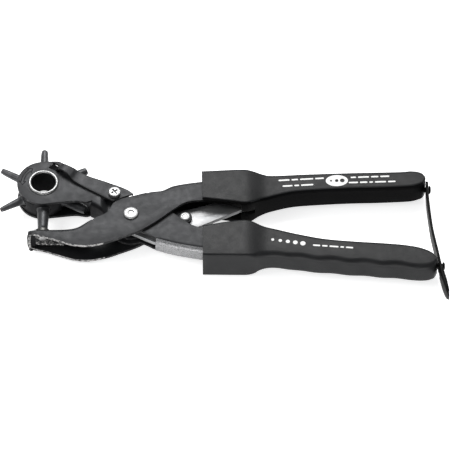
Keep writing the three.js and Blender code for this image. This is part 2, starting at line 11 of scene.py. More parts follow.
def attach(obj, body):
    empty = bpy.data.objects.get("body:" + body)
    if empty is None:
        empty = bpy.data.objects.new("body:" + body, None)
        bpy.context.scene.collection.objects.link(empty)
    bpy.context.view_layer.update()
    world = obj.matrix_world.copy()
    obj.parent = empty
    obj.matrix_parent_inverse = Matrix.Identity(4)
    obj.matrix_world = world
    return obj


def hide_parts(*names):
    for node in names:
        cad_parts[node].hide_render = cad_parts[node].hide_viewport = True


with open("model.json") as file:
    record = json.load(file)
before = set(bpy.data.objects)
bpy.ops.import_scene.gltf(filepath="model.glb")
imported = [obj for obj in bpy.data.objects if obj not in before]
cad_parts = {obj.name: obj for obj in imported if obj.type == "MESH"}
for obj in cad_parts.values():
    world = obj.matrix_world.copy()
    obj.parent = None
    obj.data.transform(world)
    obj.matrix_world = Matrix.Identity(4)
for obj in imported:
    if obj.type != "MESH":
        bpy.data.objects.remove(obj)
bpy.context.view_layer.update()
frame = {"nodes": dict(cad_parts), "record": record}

# ---------------------------------------------------------------- frame of the drawing

# Outlines are in millimetres from the main pivot: x to the grips, y to the upper handle, z up
# from the tool's mid-plane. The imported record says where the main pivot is.
MM = 0.001
JOINTS = frame["record"]["behaviour"]["joints"]
PIVOT = next(Vector(joint["pos_m"]) for joint in JOINTS if joint["name"] == "handle_pivot")

# thickness of the pressed sheet, and half the depth of each lever and sleeve
SHEET = 1.6
FRAME_HALF = 7.6
HANDLE_HALF = 5.8
HEAD_HALF = 7.1
JAW_HALF = 4.0
TAIL_HALF = 2.95
GUARD_HALF = 9.6
GRIP_HALF = 7.3

# centres of the wheel, the link rivet and the fulcrum pin
WHEEL = (-48.4, 21.6)
LINK = (29.7, 1.2)
FULCRUM = (64.0, 13.3)

# the jaw's round head, the drum in it, the tubes' reach and the anvil under the working tube
HEAD_R = 14.5
DRUM_R = 13.9
DRUM_HALF = 5.3
TUBE_REACH = 27.0
ANVIL_R = 4.0
ANVIL_FACE = -6.4
JAW_FACE = -9.5
HOLES = (4.5, 4.0, 3.5, 3.0, 2.5, 2.0)

# the index leaf's direction, its length from screw to pocket, and the pockets' place on the drum
LEAF_ANGLE = 150.0
DETENT_LENGTH = 38.1
DETENT_R = 12.6

# radii of the holes, and where the strap's two knobs are
PIVOT_HOLE = 2.85
FULCRUM_HOLE = 2.05
LINK_HOLE = 2.1
AXLE_HOLE = 7.5
DRUM_BORE = 7.6
KNOB_UPPER_Y = 22.0
KNOB_LOWER_Y = -30.2


def polar(r, deg):
    return (r * math.cos(math.radians(deg)), r * math.sin(math.radians(deg)))


def move(p, d):
    return (p[0] + d[0], p[1] + d[1])


def rectangle(x0, x1, y0, y1):
    return [(x0, y0), (x1, y0), (x1, y1), (x0, y1)]


def tilted(u, v, tilt, centre):
    """The point (u, v) turned by tilt radians and then moved to centre."""
    x = u * math.cos(tilt) - v * math.sin(tilt)
    y = u * math.sin(tilt) + v * math.cos(tilt)
    return move((x, y), centre)


def arc(centre, r, start, end, steps):
    return [move(polar(r, start + (end - start) * i / steps), centre) for i in range(steps + 1)]


def smooth(points, steps=6):
    """Catmull-Rom line through the points."""
    line = []
    last = len(points) - 1
    for i in range(last):
        p0, p1, p2, p3 = points[max(i - 1, 0)], points[i], points[i + 1], points[min(i + 2, last)]
        for k in range(steps):
            t = k / steps
            line.append(
                tuple(
                    0.5 * (2 * b + (c - a) * t + (2 * a - 5 * b + 4 * c - d) * t * t
                           + (3 * b - a - 3 * c + d) * t ** 3)
                    for a, b, c, d in zip(p0, p1, p2, p3)
                )
            )
    return line + [tuple(points[-1])]


def lerp(pairs, x):
    """Straight lines through (x, value) pairs."""
    if x <= pairs[0][0]:
        return pairs[0][1]
    for (x0, v0), (x1, v1) in zip(pairs, pairs[1:]):
        if x <= x1:
            return v0 + (v1 - v0) * (x - x0) / (x1 - x0)
    return pairs[-1][1]


def ease(pairs, x):
    """As lerp, but with soft starts and ends between the pairs."""
    if x <= pairs[0][0]:
        return pairs[0][1]
    for (x0, v0), (x1, v1) in zip(pairs, pairs[1:]):
        if x <= x1:
            t = (x - x0) / (x1 - x0)
            return v0 + (v1 - v0) * t * t * (3 - 2 * t)
    return pairs[-1][1]


# ---------------------------------------------------------------- materials


def material(name, build):
    made = bpy.data.materials.new(name)
    made.use_nodes = True
    tree = made.node_tree
    shader = tree.nodes["Principled BSDF"]
    build(tree, shader)
    return made


def noise(tree, scale, detail=3.0, roughness=0.55, stretch=None):
    """Noise in the object's own space, scale in features per metre."""
    place = tree.nodes.new("ShaderNodeTexCoord")
    source = place.outputs["Object"]
    if stretch:
        mapping = tree.nodes.new("ShaderNodeMapping")
        mapping.inputs["Scale"].default_value = stretch
        tree.links.new(source, mapping.inputs["Vector"])
        source = mapping.outputs["Vector"]
    node = tree.nodes.new("ShaderNodeTexNoise")
    node.inputs["Scale"].default_value = scale
    node.inputs["Detail"].default_value = detail
    node.inputs["Roughness"].default_value = roughness
    tree.links.new(source, node.inputs["Vector"])
    return node.outputs["Fac"]


def ramp(tree, source, stops):
    node = tree.nodes.new("ShaderNodeValToRGB")
    elements = node.color_ramp.elements
    while len(elements) < len(stops):
        elements.new(0.5)
    for element, (position, colour) in zip(elements, stops):
        element.position = position
        element.color = (*colour, 1.0) if isinstance(colour, tuple) else (colour, colour, colour, 1.0)
    tree.links.new(source, node.inputs["Fac"])
    return node.outputs["Color"]


def surface(shader, metallic=0.0, specular=0.5):
    shader.inputs["Metallic"].default_value = metallic
    shader.inputs["Specular IOR Level"].default_value = specular


def drive(tree, shader, name, source, stops):
    """Sets an input of the shader by a ramp over the source."""
    tree.links.new(ramp(tree, source, stops), shader.inputs[name])


def bump(tree, shader, layers):
    """Stacks (height source, strength, depth in metres) bumps on the shader's normal."""
    normal = None
    for source, strength, depth in layers:
        node = tree.nodes.new("ShaderNodeBump")
        node.inputs["Strength"].default_value = strength
        node.inputs["Distance"].default_value = depth
        tree.links.new(source, node.inputs["Height"])
        if normal:
            tree.links.new(normal, node.inputs["Normal"])
        normal = node.outputs["Normal"]
    tree.links.new(normal, shader.inputs["Normal"])


def coated_steel(tree, shader):
    cloud = noise(tree, 90, 4)
    grain = noise(tree, 2600, 2)
    stops = [(0.3, (0.018, 0.0185, 0.0195)), (0.7, (0.028, 0.0285, 0.030))]
    drive(tree, shader, "Base Color", cloud, stops)
    drive(tree, shader, "Roughness", noise(tree, 300, 3), [(0.3, 0.36), (0.7, 0.48)])
    surface(shader, metallic=0.35, specular=0.16)
    bump(tree, shader, [(grain, 0.6, 0.00007), (cloud, 0.15, 0.0004)])


def painted_sheen_coating(tree, shader):
    """Painted highlight: the same black coating made lighter, with the grain standing out, standing in for
    the front light's sheen on the lower handle's web.
    """
    grain = noise(tree, 2100, 3, 0.65)
    drive(tree, shader, "Base Color", grain, [(0.34, (0.07, 0.07, 0.073)), (0.62, (0.34, 0.34, 0.345))])
    drive(tree, shader, "Roughness", noise(tree, 300, 3), [(0.3, 0.34), (0.7, 0.46)])
    surface(shader, metallic=0.5)
    bump(tree, shader, [(grain, 0.6, 0.00008)])


def bare_edge(tree, shader):
    patch = noise(tree, 620, 5, 0.7)
    drive(tree, shader, "Base Color", patch, [(0.42, (0.012, 0.012, 0.013)), (0.56, (0.36, 0.355, 0.35))])
    drive(tree, shader, "Roughness", patch, [(0.40, 0.55), (0.60, 0.40)])
    surface(shader, metallic=0.6)
    bump(tree, shader, [(noise(tree, 1800, 4, 0.7), 0.6, 0.00012)])


def painted_light_inside(tree, shader):
    """Painted highlight: black coating inside the jaw's nose with small bright spots, standing in for the
    front light falling on the web's inner face.
    """
    spots = noise(tree, 800, 5, 0.7)
    drive(tree, shader, "Base Color", spots, [(0.50, (0.010, 0.010, 0.011)), (0.62, (0.26, 0.255, 0.25))])
    drive(tree, shader, "Roughness", spots, [(0.5, 0.55), (0.62, 0.40)])
    surface(shader, metallic=0.5)
    bump(tree, shader, [(spots, 0.4, 0.0001)])


def dark_edge(tree, shader):
    patch = noise(tree, 500, 5, 0.7)
    drive(tree, shader, "Base Color", patch, [(0.52, (0.012, 0.012, 0.013)), (0.78, 0.10)])
    drive(tree, shader, "Roughness", patch, [(0.5, 0.5), (0.75, 0.36)])
    surface(shader, metallic=0.4, specular=0.14)
    bump(tree, shader, [(noise(tree, 1800, 4, 0.7), 0.4, 0.0001)])


def zinc_plate(tree, shader):
    brushed = noise(tree, 2200, 3, stretch=(0.06, 1.0, 1.0))
    cloud = noise(tree, 120, 3)
    drive(tree, shader, "Base Color", cloud, [(0.3, (0.27, 0.275, 0.28)), (0.7, 0.36)])
    drive(tree, shader, "Roughness", brushed, [(0.3, 0.42), (0.7, 0.56)])
    surface(shader, metallic=0.75)
    bump(tree, shader, [(brushed, 0.25, 0.00004), (cloud, 0.08, 0.0003)])


def nickel(tree, shader):
    fine = noise(tree, 1500, 4, 0.65)
    drive(tree, shader, "Base Color", fine, [(0.3, 0.19), (0.7, 0.30)])
    drive(tree, shader, "Roughness", noise(tree, 600, 4), [(0.3, 0.30), (0.7, 0.46)])
    surface(shader, metallic=0.9)
    bump(tree, shader, [(fine, 0.3, 0.00006)])


def punch_steel(tree, shader):
    cloud = noise(tree, 260, 4)
    turned_marks = noise(tree, 5000, 2)
    drive(tree, shader, "Base Color", cloud, [(0.3, (0.045, 0.046, 0.048)), (0.7, (0.080, 0.081, 0.084))])
    drive(tree, shader, "Roughness", turned_marks, [(0.3, 0.34), (0.7, 0.50)])
    surface(shader, metallic=0.6, specular=0.2)
    bump(tree, shader, [(turned_marks, 0.3, 0.00004)])


def black_steel(tree, shader):
    cloud = noise(tree, 200, 4)
    drive(tree, shader, "Base Color", cloud, [(0.3, (0.008, 0.008, 0.009)), (0.7, (0.018, 0.018, 0.019))])
    drive(tree, shader, "Roughness", noise(tree, 900, 3), [(0.3, 0.40), (0.7, 0.56)])
    surface(shader, metallic=0.3, specular=0.06)
    bump(tree, shader, [(noise(tree, 3200, 2), 0.3, 0.00005)])


def anvil_metal(tree, shader):
    fine = noise(tree, 1200, 4, 0.65)
    drive(tree, shader, "Base Color", fine, [(0.3, (0.05, 0.05, 0.048)), (0.7, (0.10, 0.10, 0.095))])
    drive(tree, shader, "Roughness", fine, [(0.3, 0.50), (0.7, 0.34)])
    surface(shader, metallic=0.8)
    bump(tree, shader, [(fine, 0.35, 0.00006)])


def grip_plastic(tree, shader):
    grain = noise(tree, 2200, 2, 0.5)
    cloud = noise(tree, 60, 3)
    stops = [(0.3, (0.0085, 0.0088, 0.0093)), (0.7, (0.0125, 0.0128, 0.0135))]
    drive(tree, shader, "Base Color", cloud, stops)
    drive(tree, shader, "Roughness", noise(tree, 240, 3), [(0.3, 0.38), (0.7, 0.48)])
    surface(shader, specular=0.18)
    bump(tree, shader, [(grain, 0.8, 0.0001)])


def grip_painted_shade(tree, shader):
    """Painted shade: the sleeves' plastic made darker for the upper sleeve's front, which faces the gap
    between the handles.
    """
    grain = noise(tree, 2200, 2, 0.5)
    stops = [(0.3, (0.0025, 0.0025, 0.0027)), (0.7, (0.004, 0.004, 0.0043))]
    drive(tree, shader, "Base Color", noise(tree, 60, 3), stops)
    drive(tree, shader, "Roughness", grain, [(0.3, 0.46), (0.7, 0.56)])
    surface(shader, specular=0.03)
    bump(tree, shader, [(grain, 0.4, 0.00006)])


def strap_rubber(tree, shader):
    cloud = noise(tree, 150, 3)
    drive(tree, shader, "Base Color", cloud, [(0.3, 0.003), (0.7, 0.005)])
    drive(tree, shader, "Roughness", noise(tree, 500, 3), [(0.3, 0.40), (0.7, 0.52)])
    surface(shader, specular=0.06)
    bump(tree, shader, [(noise(tree, 1800, 2), 0.3, 0.00005)])


def white_print(tree, shader):
    speck = noise(tree, 2600, 3, 0.6)
    drive(tree, shader, "Base Color", speck, [(0.24, 0.35), (0.36, (0.80, 0.80, 0.79))])
    drive(tree, shader, "Roughness", speck, [(0.3, 0.62), (0.7, 0.48)])
    bump(tree, shader, [(noise(tree, 2400, 2, 0.5), 0.3, 0.00005)])


COATED = material("coated_steel", coated_steel)
PAINTED_SHEEN = material("painted_sheen_coating", painted_sheen_coating)
BARE_EDGE = material("bare_edge", bare_edge)
PAINTED_LIGHT_INSIDE = material("painted_light_inside", painted_light_inside)
DARK_EDGE = material("dark_edge", dark_edge)
ZINC = material("zinc_plate", zinc_plate)
NICKEL = material("nickel", nickel)
PUNCH = material("punch_steel", punch_steel)
BLACK_STEEL = material("black_steel", black_steel)
ANVIL = material("anvil_metal", anvil_metal)
GRIP = material("grip_plastic", grip_plastic)
GRIP_PAINTED_SHADE = material("grip_painted_shade", grip_painted_shade)
STRAP = material("strap_rubber", strap_rubber)
PRINT = material("white_print", white_print)

# ---------------------------------------------------------------- mesh helpers


def add(name, bm, materials=()):
    """A mesh object made from millimetres round the pivot, left at the scene's origin."""
    bmesh.ops.transform(bm, matrix=Matrix.Translation(PIVOT) @ Matrix.Scale(MM, 4), verts=bm.verts)
    mesh = bpy.data.meshes.new(name)
    bm.to_mesh(mesh)
    bm.free()
    made = bpy.data.objects.new(name, mesh)
    bpy.context.scene.collection.objects.link(made)
    for m in materials:
        mesh.materials.append(m)
    return made


def apply_modifiers(thing):
    depsgraph = bpy.context.evaluated_depsgraph_get()
    mesh = bpy.data.meshes.new_from_object(thing.evaluated_get(depsgraph))
    thing.modifiers.clear()
    old = thing.data
    thing.data = mesh
    bpy.data.meshes.remove(old)


def cut(thing, cutters):
    for cutter in cutters:
        modifier = thing.modifiers.new("cut", "BOOLEAN")
        modifier.operation = "DIFFERENCE"
        modifier.solver = "EXACT"
        modifier.object = cutter
    apply_modifiers(thing)
    for cutter in cutters:
        mesh = cutter.data
        bpy.data.objects.remove(cutter)
        bpy.data.meshes.remove(mesh)


def soften(thing, width, segments=3, angle=38):
    """Rounds the edges and shades the faces smooth."""
    modifier = thing.modifiers.new("soften", "BEVEL")
    modifier.width = width * MM
    modifier.segments = segments
    modifier.limit_method = "ANGLE"
    modifier.angle_limit = math.radians(angle)
    modifier.use_clamp_overlap = True
    modifier.miter_outer = "MITER_ARC"
    apply_modifiers(thing)
    shade(thing)


def shade(thing, angle=32):
    mesh = thing.data
    mesh.shade_smooth()
    mesh.set_sharp_from_angle(angle=math.radians(angle))


def paint_faces(thing, extra, chosen):
    """Gives a further material to the faces for which chosen(x, y, face) is true."""
    thing.data.materials.append(extra)
    index = len(thing.data.materials) - 1
    for face in thing.data.polygons:
        x, y, _ = (face.center - PIVOT) / MM
        if chosen(x, y, face):
            face.material_index = index


def settle(thing, body, slot, *nodes):
    """Puts the finished piece on its body in place of its CAD nodes. The slot argument is not used."""
    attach(thing, body)
    if nodes:
        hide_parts(*nodes)


def prism_mesh(outline, low, high):
    bm = bmesh.new()
    top = [bm.verts.new((x, y, high)) for x, y in outline]
    bottom = [bm.verts.new((x, y, low)) for x, y in outline]
    bm.faces.new(top)
    bm.faces.new(list(reversed(bottom)))
    n = len(outline)
    for i in range(n):
        j = (i + 1) % n
        bm.faces.new((top[i], bottom[i], bottom[j], top[j]))
    bmesh.ops.recalc_face_normals(bm, faces=bm.faces)
    return bm


def rod_mesh(r, centre, low, high, sides=64):
    return prism_mesh(arc(centre, r, 0, 360 * (sides - 1) / sides, sides - 1), low, high)


def lathe_mesh(profile, sides=64):
    """Turns (radius, height) points round Z. The first and last points may lie on the axis."""
    bm = bmesh.new()
    rings = []
    for r, z in profile:
        if r < 1e-6:
            rings.append([bm.verts.new((0, 0, z))])
        else:
            rings.append([bm.verts.new((*polar(r, 360 * i / sides), z)) for i in range(sides)])
    closed = profile[0] == profile[-1]
    if closed:
        bmesh.ops.delete(bm, geom=rings.pop(), context="VERTS")
        rings.append(rings[0])
    for a, b in zip(rings, rings[1:]):
        for i in range(sides):
            j = (i + 1) % sides
            corners = [a[i % len(a)], a[j % len(a)], b[j % len(b)], b[i % len(b)]]
            unique = list(dict.fromkeys(corners))
            if len(unique) > 2:
                bm.faces.new(unique)
    bmesh.ops.recalc_face_normals(bm, faces=bm.faces)
    return bm


def skin(bm, rings):
    """Closes a row of equal rings into one body with flat ends."""
    count = len(rings[0])
    for a, b in zip(rings, rings[1:]):
        for k in range(count):
            m = (k + 1) % count
            bm.faces.new((a[k], a[m], b[m], b[k]))
    bm.faces.new(list(reversed(rings[0])))
    bm.faces.new(rings[-1])
    bmesh.ops.recalc_face_normals(bm, faces=bm.faces)
    return bm


def place(bm, matrix):
    bmesh.ops.transform(bm, matrix=matrix, verts=bm.verts)
    return bm


def at(x, y, z=0.0):
    return Matrix.Translation((x, y, z))


def turned(deg, axis="Z"):
    return Matrix.Rotation(math.radians(deg), 4, axis)


def radial(centre, deg):
    """Turns a lathe's Z axis to point outwards from a centre, in the tool's plane."""
    return at(*centre) @ turned(deg) @ turned(90, "Y")


def along_x(y):
    return at(0, y) @ turned(90, "Y")


def turned_part(name, profile, matrix, look, edge, sides=64):
    """A piece turned on a lathe, set in its place, with its edges rounded by edge."""
    made = add(name, place(lathe_mesh(profile, sides), matrix), (look,))
    soften(made, edge)
    return made


BEND_FADE = 3.5
BEND_STEPS = 7


def pressed(name, runs, half, across, down=None, profile=None, stations=()):
    """A lever folded from sheet: two flanges cut to one outline, joined where a run is bent over.

    runs lists (line, bent), clockwise seen from above. across(x) and down(x) give the bend's size in
    the tool's plane and square to it, and profile(x) the half height."""
    down = down or across
    outline = []
    for line, bent in runs:
        outline += [(p, bent) for p in line]
    outline.reverse()
    points = [p for p, _ in outline]
    bent = [b for _, b in outline]
    count = len(points)
    bent_points = [p for p, b in zip(points, bent) if b]

    def inset(i):
        if bent[i]:
            return across(points[i][0])
        nearest = min(bent_points, key=lambda p: math.dist(points[i], p))
        fade = max(0.0, 1 - math.dist(points[i], nearest) / BEND_FADE)
        return across(nearest[0]) * fade * fade

    def inward(i):
        before, after = (i - 1) % count, (i + 1) % count
        if bent[i] and not bent[before]:
            before = i
        if bent[i] and not bent[after]:
            after = i
        (ax, ay), (bx, by) = points[before], points[after]
        length = math.hypot(bx - ax, by - ay)
        return (-(by - ay) / length, (bx - ax) / length)

    bm = bmesh.new()
    quarter = [math.pi / 2 * k / BEND_STEPS for k in range(BEND_STEPS + 1)]
    levels = [(1 - math.sin(a), 1 - math.cos(a)) for a in quarter]
    grid = []
    for i, (x, y) in enumerate(points):
        r = inset(i)
        nx, ny = inward(i)
        rows = levels if bent[i] else levels[:1]
        drop = down(x) if bent[i] else 0.0
        upper = [bm.verts.new((x + nx * r * a, y + ny * r * a, half - drop * b)) for a, b in rows]
        lower = [bm.verts.new((v.co.x, v.co.y, -v.co.z)) for v in upper]
        grid.append((upper, lower))
    bm.faces.new([over[0] for over, _ in grid])
    bm.faces.new([under[0] for _, under in reversed(grid)])
    for i in range(count):
        j = (i + 1) % count
        if not (bent[i] and bent[j]):
            continue
        here = grid[i][0] + list(reversed(grid[i][1]))
        there = grid[j][0] + list(reversed(grid[j][1]))
        for k in range(len(here) - 1):
            bm.faces.new((here[k], here[k + 1], there[k + 1], there[k]))
    if profile:
        for x in stations:
            everything = bm.verts[:] + bm.edges[:] + bm.faces[:]
            bmesh.ops.bisect_plane(bm, geom=everything, dist=1e-5, plane_co=(x, 0, 0), plane_no=(1, 0, 0))
        for v in bm.verts:
            v.co.z *= profile(v.co.x) / half
    made = add(name, bm, (COATED, DARK_EDGE))
    solidify = made.modifiers.new("sheet", "SOLIDIFY")
    solidify.thickness = SHEET * MM
    solidify.offset = -1
    solidify.use_quality_normals = True
    solidify.material_offset_rim = 1
    apply_modifiers(made)
    return made


def holes(thing, *wanted):
    """Drills (radius, centre) holes right through."""
    cut(thing, [add("drill", rod_mesh(r, centre, -30, 30)) for r, centre in wanted])


# ---------------------------------------------------------------- anvil lever

FRAME_NOSE = [(-56.2, -14.6), (-56.8, -13.2), (-56.4, -11.6), (-55, -10.3), (-52.4, JAW_FACE)]
FRAME_JAW_BACK = [(-37, -9.5), (-32, -8.9), (-27.5, -7.1), (-21.5, -3.6)]
FRAME_THROAT = [(-21.5, -3.6), (-14.8, -0.3), (-11.8, 2.6), (-10.2, 6.4), (-6.8, 9.6), (2, 12.5), (9.8, 15)]
FRAME_HANDLE_BACK = [
    (9.8, 15), (17, 17.3), (23.8, 20.7), (38.4, 23.4), (50, 24),
    (65, 24), (80, 24.6), (100, 25.5), (125, 26.6), (153, 27.3),
]
FRAME_BEND_IN = [(-55, 2.2), (-46, 3.2), (-30, 3.0), (-21.5, 0.8), (9.8, 0.8), (18, 3.0)]
FRAME_BEND_DOWN = [(-54, 5.2), (-47, 3.0), (-30, 3.0), (-21.5, 0.8), (9.8, 0.8), (18, 3.0)]
FRAME_DEPTH = [(66, FRAME_HALF), (74, 5.4)]
FRAME_EDGE = [
    (153, 20.7), (125, 19.8), (105, 18.7), (90, 16.9), (75, 13.9), (62, 10.9), (50, 9.8), (39.5, 9.4),
    (30.5, 8.1), (23.3, 3.1), (13.7, -5.2), (4.5, -11.6), (-6.3, -16.5), (-13, -19.2), (-21.4, -21.3),
    (-27.5, -21.4), (-32.4, -20.6), (-37, -19), (-46, -15.7), (-50.6, -14.5),
]

lever = pressed(
    "anvil_lever_pressing",
    [
        (smooth(FRAME_NOSE) + smooth(FRAME_JAW_BACK), True),
        (smooth(FRAME_THROAT)[1:-1], False),
        (smooth(FRAME_HANDLE_BACK), True),
        (smooth(FRAME_EDGE), False),
    ],
    FRAME_HALF,
    across=lambda x: ease(FRAME_BEND_IN, x),
    down=lambda x: ease(FRAME_BEND_DOWN, x),
    profile=lambda x: ease(FRAME_DEPTH, x),
    stations=(66, 68, 70, 72, 74),
)
holes(lever, (PIVOT_HOLE, (0, 0)), (FULCRUM_HOLE, FULCRUM))
soften(lever, 0.25)


# how far each look reaches: up to an x, within a half height, or above a y
BARE_RIM_END = -14
PAINTED_SHADE_INSIDE_END = -20
INSIDE_HALF = 6.2
PAINTED_LIGHT_START, PAINTED_LIGHT_END = -51, -38
PAINTED_LIGHT_LOW = -12.6


def jaw_bare_edges_and_painted_light(thing):
    """The jaw's sheared edges are bare steel, a patch inside its web gets a painted highlight, and the rest
    inside gets painted shade in darker black steel.
    """
    bare = len(thing.data.materials)
    for extra in (BARE_EDGE, PAINTED_LIGHT_INSIDE, BLACK_STEEL):
        thing.data.materials.append(extra)
    for face in thing.data.polygons:
        x, y, z = (face.center - PIVOT) / MM
        inside = abs(z) < INSIDE_HALF
        # painted highlight: front faces of this patch inside the web
        patch = PAINTED_LIGHT_START < x < PAINTED_LIGHT_END and y > PAINTED_LIGHT_LOW and face.normal.y < -0.5
        if face.material_index == 1 and x < BARE_RIM_END:
            face.material_index = bare
        elif inside and patch:
            face.material_index = bare + 1
        # painted shade: the other coated faces inside the jaw's channel get the darker black steel
        elif inside and x < PAINTED_SHADE_INSIDE_END and face.material_index == 0:
            face.material_index = bare + 2


jaw_bare_edges_and_painted_light(lever)
settle(lever, "anvil_lever", "black_coated_steel", "anvil_lever")

# the anvil's parts are turned round the working tube's line, with heights measured from the wheel
anvil_top = WHEEL[1] - ANVIL_FACE
anvil_back = WHEEL[1] - JAW_FACE - 0.05
disc_profile = [(0, anvil_top), (ANVIL_R, anvil_top), (ANVIL_R, anvil_back), (0, anvil_back)]
anvil = turned_part("anvil_disc", disc_profile, radial(WHEEL, -90), ANVIL, 0.35)
settle(anvil, "anvil_lever", "anvil_metal", "anvil")

web = anvil_back + SHEET + 0.1
rivet_profile = [
    (0, anvil_top + 1.6), (1.1, anvil_top + 1.6), (1.1, web), (2.4, web), (2.2, web + 0.5),
    (1.5, web + 0.85), (0, web + 0.95),
]
rivet = turned_part("anvil_rivet_head", rivet_profile, radial(WHEEL, -90), NICKEL, 0.1)
settle(rivet, "anvil_lever", "plated_fasteners", "anvil_rivet")

# ---------------------------------------------------------------- punch jaw

JAW_UPPER = [
    (-48.4, 36.1), (-42.5, 36.4), (-39, 35.8), (-34.5, 32.2), (-28, 28), (-20, 23.6), (-12, 20), (-5, 17),
    (1.5, 12.4), (8, 7.6), (18, 6.2), (29.2, 4.9),
]
JAW_TAIL = arc(LINK, 3.7, 90, -90, 20)
JAW_UNDER = [(29.2, -2.5), (18, -4.6), (8, -7.2), (0, -9.6), (-6, -7.6)]
JAW_WEB = [(-11.2, -2.4), (-14.4, 1.7), (-18.5, 5.2), (-22.4, 7.6)]
JAW_LOWER = [(-22.4, 7.6), (-29.7, 9.2), (-39, 8.4), (-48.4, 7.1)]
PAINTED_SHADE_WEB_START, PAINTED_SHADE_WEB_END = -24, -8
# a face counts as a front one when the y of its normal is below this
FACES_FRONT = -0.35
JAW_BEND = 2.2
JAW_DEPTH = [(-17, HEAD_HALF), (-12.6, JAW_HALF), (8, JAW_HALF), (15, TAIL_HALF)]
JAW_STATIONS = (-17, -16.2, -15.5, -14.8, -14.1, -13.4, -12.6, 8, 9.5, 11.5, 13.5, 15)

jaw = pressed(
    "punch_jaw_pressing",
    [
        (smooth(JAW_UPPER)[:-1], False),
        (JAW_TAIL[1:-1], False),
        (smooth(JAW_UNDER), False),
        (smooth(JAW_WEB), True),
        (smooth(JAW_LOWER)[1:-1], False),
        (arc(WHEEL, HEAD_R, -90, -270, 48)[:-1], False),
    ],
    HEAD_HALF,
    across=lambda x: JAW_BEND,
    profile=lambda x: ease(JAW_DEPTH, x),
    stations=JAW_STATIONS,
)


def leaf_point(s, w):
    """The place on the leaf at s along it from its screw and w across it."""
    window = move(polar(DETENT_R, 60), WHEEL)
    screw = move(polar(-DETENT_LENGTH, LEAF_ANGLE), window)
    return move(move(polar(s, LEAF_ANGLE), polar(w, LEAF_ANGLE - 90)), screw)


SCREW = leaf_point(0, 0)
WINDOW = rectangle(34.5, 41, -2.3, 2.3)
window = add("window", prism_mesh([leaf_point(s, w) for s, w in WINDOW], 3, 12))
screw_hole = add("screw_hole", rod_mesh(1.7, SCREW, 0, 20))
cut(jaw, [window, screw_hole])
holes(jaw, (AXLE_HOLE, WHEEL), (PIVOT_HOLE, (0, 0)), (LINK_HOLE, LINK))
soften(jaw, 0.25)
# painted shade: the front faces of the jaw's bent web get the darker black steel
paint_faces(jaw, BLACK_STEEL, lambda x, y, face: PAINTED_SHADE_WEB_START < x < PAINTED_SHADE_WEB_END and face.normal.y < FACES_FRONT)
settle(jaw, "punch_jaw", "black_coated_steel", "punch_jaw")

# raised outline of a curved two-way arrow round the wheel's upper left: the wheel turns both ways
ARROW_R = 11.6
ARROW_HALF = 0.75
ARROW_HEAD = 1.7
ARROW_ENDS = (122, 186)
ARROW_TIP = 11


def arrow_outline():
    start, end = ARROW_ENDS
    shaft = arc(WHEEL, ARROW_R + ARROW_HALF, start + ARROW_TIP, end - ARROW_TIP, 16)
    back = arc(WHEEL, ARROW_R - ARROW_HALF, end - ARROW_TIP, start + ARROW_TIP, 16)

    def head(tip, base):
        corners = [(ARROW_R + ARROW_HEAD, base), (ARROW_R, tip), (ARROW_R - ARROW_HEAD, base)]
        return [move(polar(r, deg), WHEEL) for r, deg in corners]

    return shaft + head(end, end - ARROW_TIP) + back + list(reversed(head(start, start + ARROW_TIP)))


def ridge_mesh(outline, z, half_width, height):
    """A low rounded ridge that follows a closed outline."""
    bm = bmesh.new()
    count = len(outline)
    crest = half_width * 0.6
    section = [(-half_width, -0.02), (-crest, height), (crest, height), (half_width, -0.02)]
    rings = []
    for i, (x, y) in enumerate(outline):
        (ax, ay), (bx, by) = outline[i - 1], outline[(i + 1) % count]
        before = Vector((x - ax, y - ay)).normalized()
        after = Vector((bx - x, by - y)).normalized()
        along = (before + after).normalized()
        side = Vector((-along.y, along.x))
        stretch = 1 / max(0.45, side.dot(Vector((-before.y, before.x))))
        ring = [(x + side.x * w * stretch, y + side.y * w * stretch, z + h) for w, h in section]
        rings.append([bm.verts.new(point) for point in ring])
    for i in range(count):
        a, b = rings[i], rings[(i + 1) % count]
        for k in range(len(section)):
            m = (k + 1) % len(section)
            bm.faces.new((a[k], b[k], b[m], a[m]))
    bmesh.ops.recalc_face_normals(bm, faces=bm.faces)
    return bm


arrow = add("turn_arrow", ridge_mesh(arrow_outline(), HEAD_HALF, 0.26, 0.16), (BLACK_STEEL,))
shade(arrow)
settle(arrow, "punch_jaw", "dark_steel")

LINK_PROFILE = [
    (0, -3.95), (2.5, -3.95), (3.05, -3.55), (3.05, -3), (2, -3), (2, 3), (3.05, 3), (3.05, 3.5),
    (2.5, 3.88), (1.5, 3.95), (1.25, 3.75), (0, 3.7),
]
link = turned_part("link_rivet_heads", LINK_PROFILE, at(*LINK), NICKEL, 0.12)
settle(link, "punch_jaw", "plated_fasteners", "link_rivet")

# ---------------------------------------------------------------- hollow axle and wheel

AXLE_PROFILE = [(5.3, -7.1), (7.4, -7.1), (7.4, 7.1), (6.6, 7.1), (6.6, -4.0), (5.3, -6.2), (5.3, -7.1)]
axle = add("wheel_axle_sleeve", place(lathe_mesh(AXLE_PROFILE, 96), at(*WHEEL)), (BLACK_STEEL,))
port = add("port", place(lathe_mesh([(0, 0), (2.6, 0), (2.6, 12), (0, 12)], 48), radial(WHEEL, -90)))
cut(axle, [port])
soften(axle, 0.12)
settle(axle, "punch_jaw", "dark_steel", "wheel_axle")

